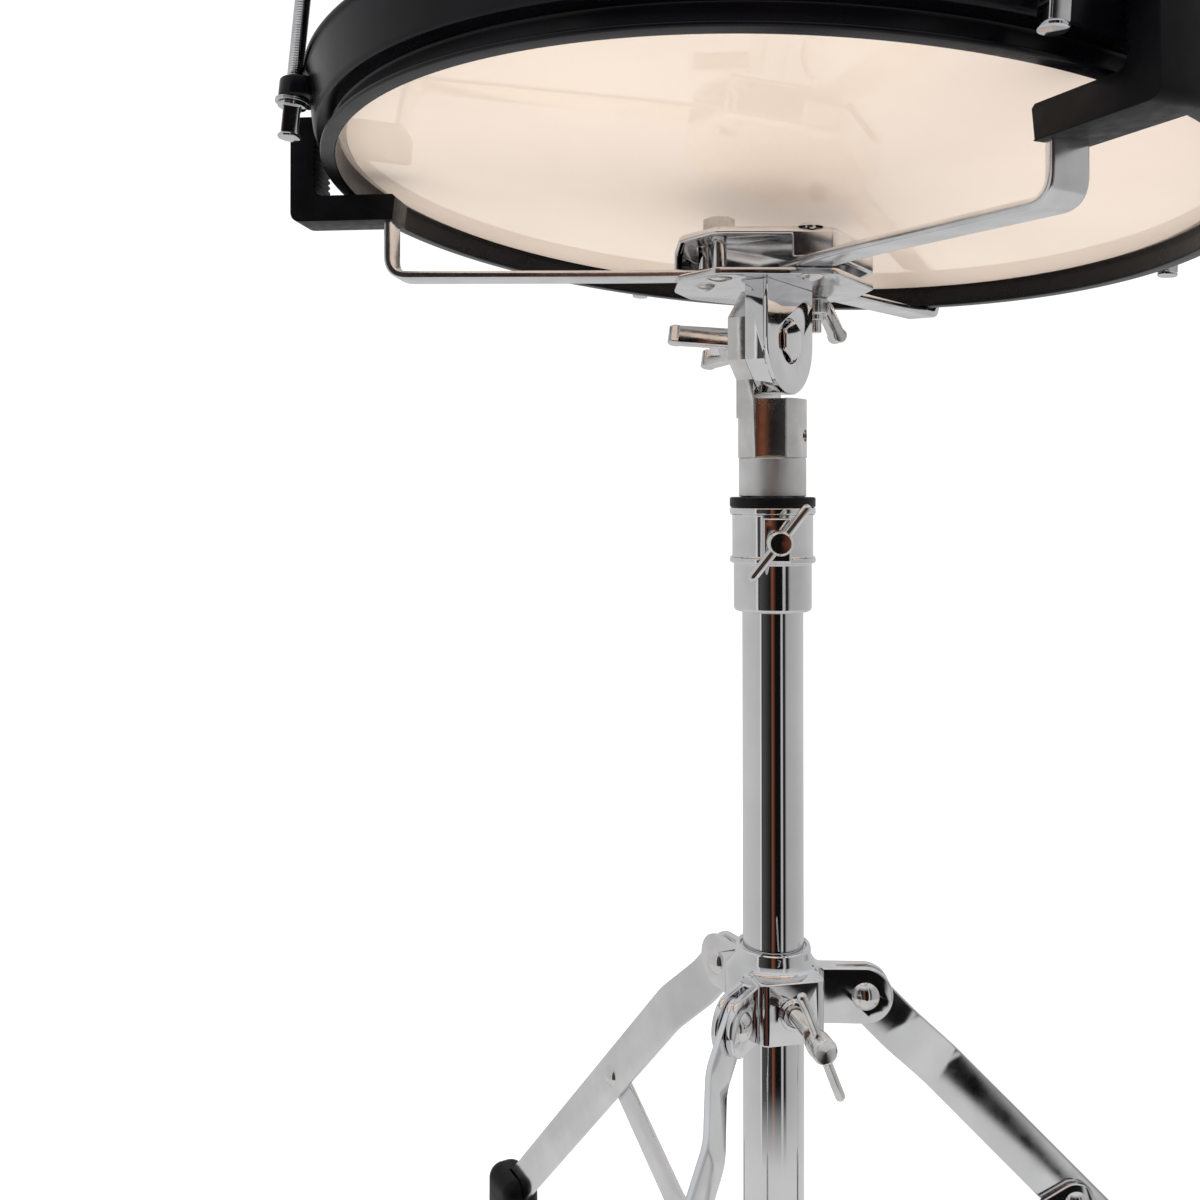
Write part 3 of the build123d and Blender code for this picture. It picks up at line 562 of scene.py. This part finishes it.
def build_strip(part, start, end, length, width, joggle, step, azimuth, round_far):
    """A flat strip that steps aside near its pivot; part names its node and its body."""
    place = turned_to(azimuth) @ slope_place(start, end)
    half_w = width / 2
    path = soften([(0, 0, 0), (joggle[0], 0, 0), (joggle[1], step, 0), (length, step, 0)],
                  STRIP_BEND, 6, loop=False)
    quarter = [pi / 2 * k / 10 for k in range(11)]
    path = [Vector((-half_w * cos(a), 0, 0)) for a in quarter[:-1]] + path
    if round_far:
        path += [Vector((length + half_w * sin(a), step, 0)) for a in quarter[1:]]

    def share(i):
        x = path[i].x
        over = -x if x < 0 else (x - length if round_far and x > length else 0)
        return max(0.04, sqrt(max(0.0, 1 - (over / half_w) ** 2)))

    t = STRIP_T / 2
    section = soften([(-half_w, -t), (half_w, -t), (half_w, t), (-half_w, t)], 0.7, 3)
    b = Build()
    b.sweep(path, (0, 0, 1), section, place, share)
    b.done(part + "_finished", part, "leg_strip", part, angle=50)


leg_length = hypot(FOOT_END[0] - LEG_PIVOT[0], FOOT_END[1] - LEG_PIVOT[1])
joint_r = LEG_PIVOT[0] + (FOOT_END[0] - LEG_PIVOT[0]) * MID_RIVET / leg_length
joint_z = LEG_PIVOT[1] + (FOOT_END[1] - LEG_PIVOT[1]) * MID_RIVET / leg_length
brace_length = hypot(joint_r - BRACE_PIVOT[0], joint_z - BRACE_PIVOT[1])
for leg_name, leg_azimuth in LEG_AZIMUTHS.items():
    build_strip(f"leg_{leg_name}", LEG_PIVOT, FOOT_END, leg_length + 5, LEG_WIDTH, LEG_JOGGLE, LEG_STEP,
                leg_azimuth, False)
    build_strip(f"brace_{leg_name}", BRACE_PIVOT, (joint_r, joint_z), brace_length, BRACE_WIDTH, BRACE_JOGGLE,
                BRACE_STEP, leg_azimuth, True)
    refined(f"foot_{leg_name}", 0.8, "rubber", f"leg_{leg_name}")


# ---------------------------------------------------------------- stage, light and camera


def build_floor():
    mesh = bpy.data.meshes.new("floor")
    h = FLOOR_HALF
    mesh.from_pydata([(-h, -h, 0), (h, -h, 0), (h, h, 0), (-h, h, 0)], [], [(0, 1, 2, 3)])
    floor = bpy.data.objects.new("floor", mesh)
    bpy.context.scene.collection.objects.link(floor)
    material = finish("floor_paper", (0.97, 0.97, 0.97), (0.98, 0.98, 0.98), (0.9, 1.0), 0.0, 3, 300, 0.02,
                      0.02, specular=0.0)
    mesh.materials.append(material)
    floor.visible_glossy = False


def mix(tree, fac, a, colour):
    """Goes from the linked colour a to a plain one as fac rises."""
    n = tree.nodes.new("ShaderNodeMix")
    n.data_type = "RGBA"
    n.inputs["B"].default_value = (*colour, 1)
    tree.links.new(fac, n.inputs["Factor"])
    tree.links.new(a, n.inputs["A"])
    return n.outputs["Result"]


def build_world():
    """White surroundings, with the darker side of the studio behind the camera for the metal to mirror."""
    world = bpy.data.worlds.new("studio")
    bpy.context.scene.world = world
    world.use_nodes = True
    tree = world.node_tree
    links = tree.links
    coords = tree.nodes.new("ShaderNodeTexCoord")
    split = tree.nodes.new("ShaderNodeSeparateXYZ")
    links.new(coords.outputs["Generated"], split.inputs["Vector"])
    flip = tree.nodes.new("ShaderNodeMath")
    flip.operation = "MULTIPLY"
    flip.inputs[1].default_value = -1
    links.new(split.outputs["Y"], flip.inputs[0])
    angle = tree.nodes.new("ShaderNodeMath")
    angle.operation = "ARCTAN2"
    links.new(split.outputs["X"], angle.inputs[0])
    links.new(flip.outputs[0], angle.inputs[1])
    ramp = tree.nodes.new("ShaderNodeValToRGB")
    elements = ramp.color_ramp.elements
    while len(elements) < len(STUDIO):
        elements.new(0.5)
    for element, (degree, colour) in zip(elements, STUDIO):
        element.position = (degree / 180 + 1) / 2
    for element, (degree, colour) in zip(elements, STUDIO):
        element.color = (*colour, 1) if isinstance(colour, tuple) else (colour, colour, colour, 1)
    links.new(between(tree, angle.outputs[0], 0, 1, -pi, pi), ramp.inputs["Fac"])
    ceiling = between(tree, split.outputs["Z"], 0, 1, *CEILING_EDGE)
    walls = mix(tree, ceiling, ramp.outputs["Color"], STUDIO_CEILING)
    ground = between(tree, split.outputs["Z"], 1, 0, *FLOOR_EDGE)
    room = mix(tree, ground, walls, STUDIO_FLOOR)
    path = tree.nodes.new("ShaderNodeLightPath")
    choose = tree.nodes.new("ShaderNodeMix")
    choose.data_type = "RGBA"
    choose.inputs["A"].default_value = (ROOM_WHITE, ROOM_WHITE, ROOM_WHITE, 1)
    links.new(path.outputs["Is Glossy Ray"], choose.inputs["Factor"])
    links.new(room, choose.inputs["B"])
    links.new(choose.outputs["Result"], tree.nodes["Background"].inputs["Color"])
    world.cycles.sampling_method = "NONE"


def area_light(name, place, size, power):
    light = bpy.data.lights.new(name, "AREA")
    light.shape = "RECTANGLE"
    light.size, light.size_y = size
    light.energy = power
    lamp = bpy.data.objects.new(name, light)
    lamp.location = place
    lamp.rotation_euler = (Vector(SOFTBOX_AIM) - Vector(place)).to_track_quat("-Z", "Y").to_euler()
    lamp.visible_glossy = False
    bpy.context.scene.collection.objects.link(lamp)


def build_camera():
    data = bpy.data.cameras.new("camera")
    data.sensor_width = 36
    data.lens = CAMERA_LENS
    data.shift_x, data.shift_y = CAMERA_SHIFT
    data.clip_start = 0.01
    data.clip_end = 200
    camera = bpy.data.objects.new("camera", data)
    camera.location = CAMERA_PLACE
    camera.rotation_euler = (radians(CAMERA_PITCH), 0, 0)
    bpy.context.scene.collection.objects.link(camera)
    bpy.context.scene.camera = camera


build_floor()
build_world()
for box_name, box in SOFTBOXES.items():
    area_light(box_name, box["place"], box["size"], box["power"])
build_camera()
bpy.context.scene.view_settings.view_transform = "Standard"
